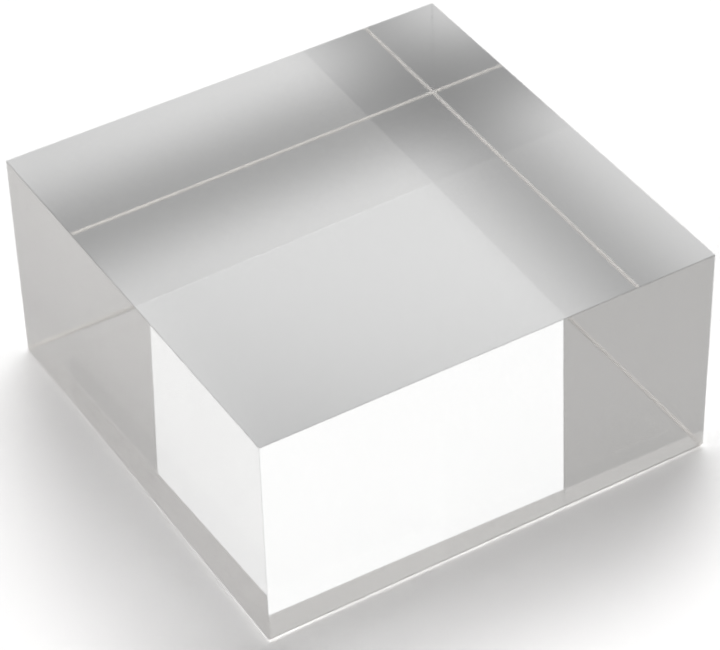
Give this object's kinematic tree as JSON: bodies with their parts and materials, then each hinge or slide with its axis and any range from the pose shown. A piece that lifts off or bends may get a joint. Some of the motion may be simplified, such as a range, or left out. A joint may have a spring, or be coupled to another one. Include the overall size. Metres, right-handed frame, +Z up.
{
  "type": "display block",
  "caption": "Low square block of solid clear acrylic with polished faces and lightly broken edges, a see-through riser that lifts an exhibit above a shelf or showcase floor.",
  "frame": {"origin": "centre of the bottom face, where the block rests", "axes": "+Z up through the thickness of the sheet; +X and +Y square to the side faces, and interchangeable because the footprint is square"},
  "size_m": [0.1016, 0.1016, 0.05],
  "materials": {
    "clear_acrylic": "clear cast acrylic, polished on all six faces, with a fine scraped chamfer along the edges"
  },
  "bodies": {
    "root": {"acrylic_block": "clear_acrylic"}
  },
  "joints": []
}
